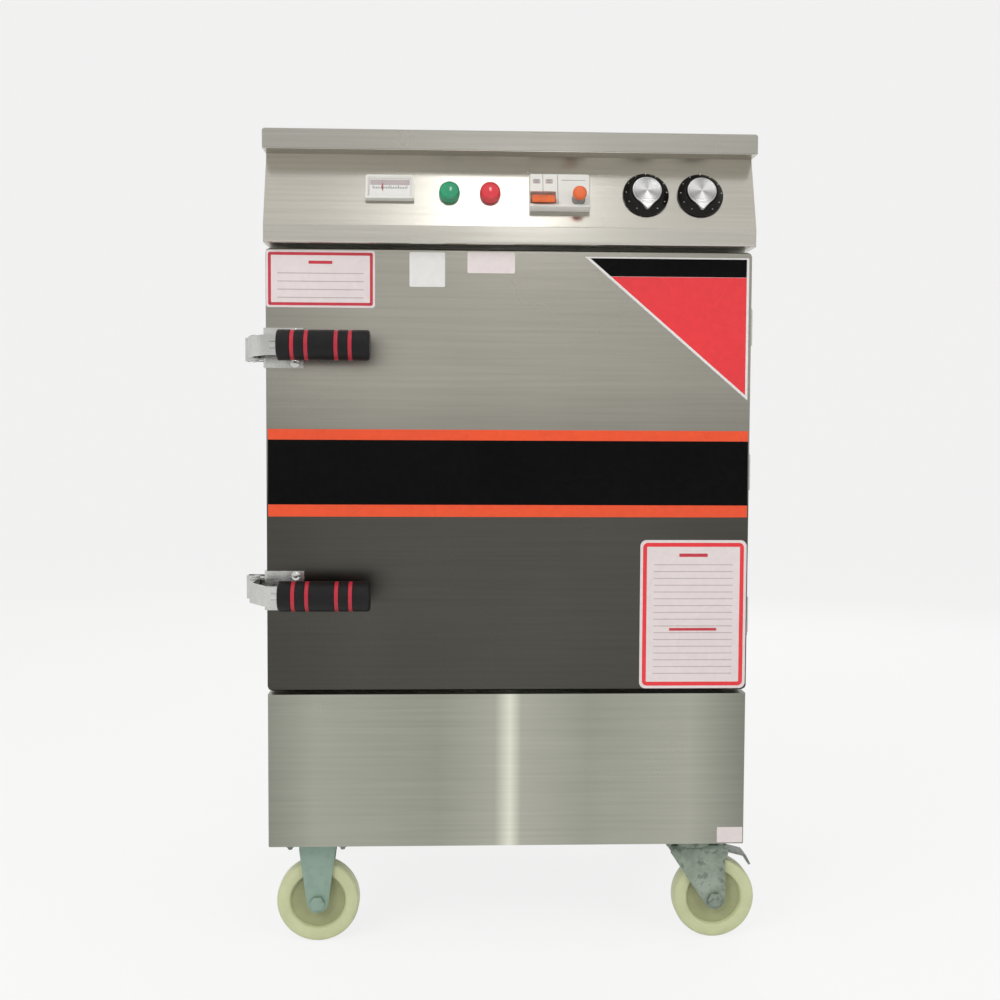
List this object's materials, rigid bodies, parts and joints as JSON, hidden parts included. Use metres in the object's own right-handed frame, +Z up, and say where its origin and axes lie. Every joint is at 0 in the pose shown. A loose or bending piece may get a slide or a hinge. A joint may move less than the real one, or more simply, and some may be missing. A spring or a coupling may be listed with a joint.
{
  "type": "rice steamer cabinet",
  "caption": "Stainless steam cabinet on casters: latched side-hung door over a rack of trays, sloping control head with dials and lamps, water tank base.",
  "frame": {"origin": "on the floor, under the middle of the bounding box", "axes": "+X to the right of someone facing the door, +Y to the back, +Z up"},
  "size_m": [0.7638, 0.7692, 1.192],
  "materials": {
    "stainless": "satin brushed stainless sheet, slightly warm",
    "tray_stainless": "bright pressed stainless",
    "bright_steel": "polished fittings and folded pan",
    "heater_steel": "heat-darkened tube",
    "zinc": "zinc-plated pressings with a green cast",
    "nickelled_brass": "nickel-plated brass, satin",
    "cream_nylon": "solid cream nylon",
    "grip_rubber": "black, with red rings",
    "silicone": "grey silicone",
    "white_plastic": "white moulded plastic",
    "black_plastic": "black moulded plastic",
    "orange_plastic": "orange moulded plastic",
    "green_lens": "translucent green lens",
    "red_lens": "translucent red lens",
    "red_sleeve": "steel lever in a red sleeve"
  },
  "bodies": {
    "cabinet": {"outer_shell": "stainless", "inner_chamber": "stainless", "water_tank": "stainless", "tray_rack_left": "stainless", "tray_rack_right": "stainless", "base_panel": "stainless", "top_lid": "stainless", "control_panel": "stainless", "rice_tray_1": "tray_stainless", "rice_tray_2": "tray_stainless", "rice_tray_3": "tray_stainless", "rice_tray_4": "tray_stainless", "rice_tray_5": "tray_stainless", "rice_tray_6": "tray_stainless", "steam_vent": "stainless", "feed_tank": "stainless", "chassis_pan": "bright_steel", "heating_element": "heater_steel", "thermometer": "white_plastic", "breaker_housing": "white_plastic", "green_lamp": "green_lens", "red_lamp": "red_lens", "temperature_switch": "black_plastic", "timer_switch": "black_plastic", "drain_valve": "nickelled_brass", "cable_gland": "black_plastic", "lower_hinge_body_leaf": "bright_steel", "middle_hinge_body_leaf": "bright_steel", "upper_hinge_body_leaf": "bright_steel", "upper_latch_keeper": "bright_steel", "lower_latch_keeper": "bright_steel", "front_rigid_caster_fork": "zinc", "rear_rigid_caster_fork": "zinc", "front_swivel_caster_plate": "zinc", "rear_swivel_caster_plate": "zinc"},
    "door": {"door_skin": "stainless", "door_liner": "stainless", "door_gasket": "silicone", "lower_hinge_door_leaf": "bright_steel", "middle_hinge_door_leaf": "bright_steel", "upper_hinge_door_leaf": "bright_steel", "upper_latch_bracket": "bright_steel", "lower_latch_bracket": "bright_steel"},
    "upper_latch": {"upper_latch_lever": "bright_steel", "upper_latch_grip": "grip_rubber"},
    "lower_latch": {"lower_latch_lever": "bright_steel", "lower_latch_grip": "grip_rubber"},
    "breaker_toggle": {"breaker_toggle": "orange_plastic"},
    "push_button": {"push_button": "orange_plastic"},
    "temperature_knob": {"temperature_knob": "black_plastic"},
    "timer_knob": {"timer_knob": "black_plastic"},
    "drain_handle": {"drain_valve_handle": "red_sleeve"},
    "front_rigid_wheel": {"front_rigid_caster_wheel": "cream_nylon"},
    "front_swivel": {"front_swivel_caster_fork": "zinc"},
    "front_swivel_wheel": {"front_swivel_caster_wheel": "cream_nylon"},
    "front_brake_pedal": {"front_swivel_caster_brake_pedal": "zinc"},
    "rear_rigid_wheel": {"rear_rigid_caster_wheel": "cream_nylon"},
    "rear_swivel": {"rear_swivel_caster_fork": "zinc"},
    "rear_swivel_wheel": {"rear_swivel_caster_wheel": "cream_nylon"},
    "rear_brake_pedal": {"rear_swivel_caster_brake_pedal": "zinc"}
  },
  "joints": [
    {"name": "door_swing", "type": "hinge", "parent": "cabinet", "child": "door", "pos_m": [0.3591, -0.25435, 0.7095], "axis": [0, 0, 1], "range_deg": [0, 180]},
    {"name": "upper_latch_turn", "type": "hinge", "parent": "door", "child": "upper_latch", "pos_m": [-0.3653, -0.27735, 0.886], "axis": [0, 0, -1], "range_deg": [-8, 25]},
    {"name": "lower_latch_turn", "type": "hinge", "parent": "door", "child": "lower_latch", "pos_m": [-0.3653, -0.27735, 0.5375], "axis": [0, 0, -1], "range_deg": [-8, 25]},
    {"name": "temperature_knob_turn", "type": "hinge", "parent": "cabinet", "child": "temperature_knob", "pos_m": [0.1963, -0.29995, 1.107], "axis": [0, 0.9423, -0.3347], "range_deg": [0, 300]},
    {"name": "timer_knob_turn", "type": "hinge", "parent": "cabinet", "child": "timer_knob", "pos_m": [0.2748, -0.29995, 1.107], "axis": [0, 0.9423, -0.3347], "range_deg": [0, 300]},
    {"name": "breaker_toggle_flip", "type": "hinge", "parent": "cabinet", "child": "breaker_toggle", "pos_m": [0.0481, -0.31133, 1.09884], "axis": [-1, 0, 0], "range_deg": [0, 70]},
    {"name": "push_button_press", "type": "slide", "parent": "cabinet", "child": "push_button", "axis": [0, 0.9423, -0.3347], "range_m": [0, 0.003], "stiffness_N_per_m": 250, "springref_m": -0.001},
    {"name": "drain_handle_turn", "type": "hinge", "parent": "cabinet", "child": "drain_handle", "pos_m": [-0.1867, 0.33965, 0.36], "axis": [0, 0, 1], "range_deg": [0, 90]},
    {"name": "front_rigid_wheel_spin", "type": "hinge", "parent": "cabinet", "child": "front_rigid_wheel", "pos_m": [-0.2797, -0.23335, 0.06173], "axis": [0, 1, 0], "continuous": true},
    {"name": "front_swivel_turn", "type": "hinge", "parent": "cabinet", "child": "front_swivel", "pos_m": [0.2863, -0.23335, 0.14], "axis": [0, 0, 1], "continuous": true},
    {"name": "front_swivel_wheel_spin", "type": "hinge", "parent": "front_swivel", "child": "front_swivel_wheel", "pos_m": [0.3198, -0.23335, 0.06173], "axis": [0, 1, 0], "continuous": true},
    {"name": "front_brake_press", "type": "hinge", "parent": "front_swivel", "child": "front_brake_pedal", "pos_m": [0.3303, -0.23335, 0.1335], "axis": [0, 1, 0], "range_deg": [0, 11]},
    {"name": "rear_rigid_wheel_spin", "type": "hinge", "parent": "cabinet", "child": "rear_rigid_wheel", "pos_m": [-0.2797, 0.24265, 0.06173], "axis": [0, 1, 0], "continuous": true},
    {"name": "rear_swivel_turn", "type": "hinge", "parent": "cabinet", "child": "rear_swivel", "pos_m": [0.2863, 0.24265, 0.14], "axis": [0, 0, 1], "continuous": true},
    {"name": "rear_swivel_wheel_spin", "type": "hinge", "parent": "rear_swivel", "child": "rear_swivel_wheel", "pos_m": [0.3198, 0.24265, 0.06173], "axis": [0, 1, 0], "continuous": true},
    {"name": "rear_brake_press", "type": "hinge", "parent": "rear_swivel", "child": "rear_brake_pedal", "pos_m": [0.3303, 0.24265, 0.1335], "axis": [0, 1, 0], "range_deg": [0, 11]}
  ]
}
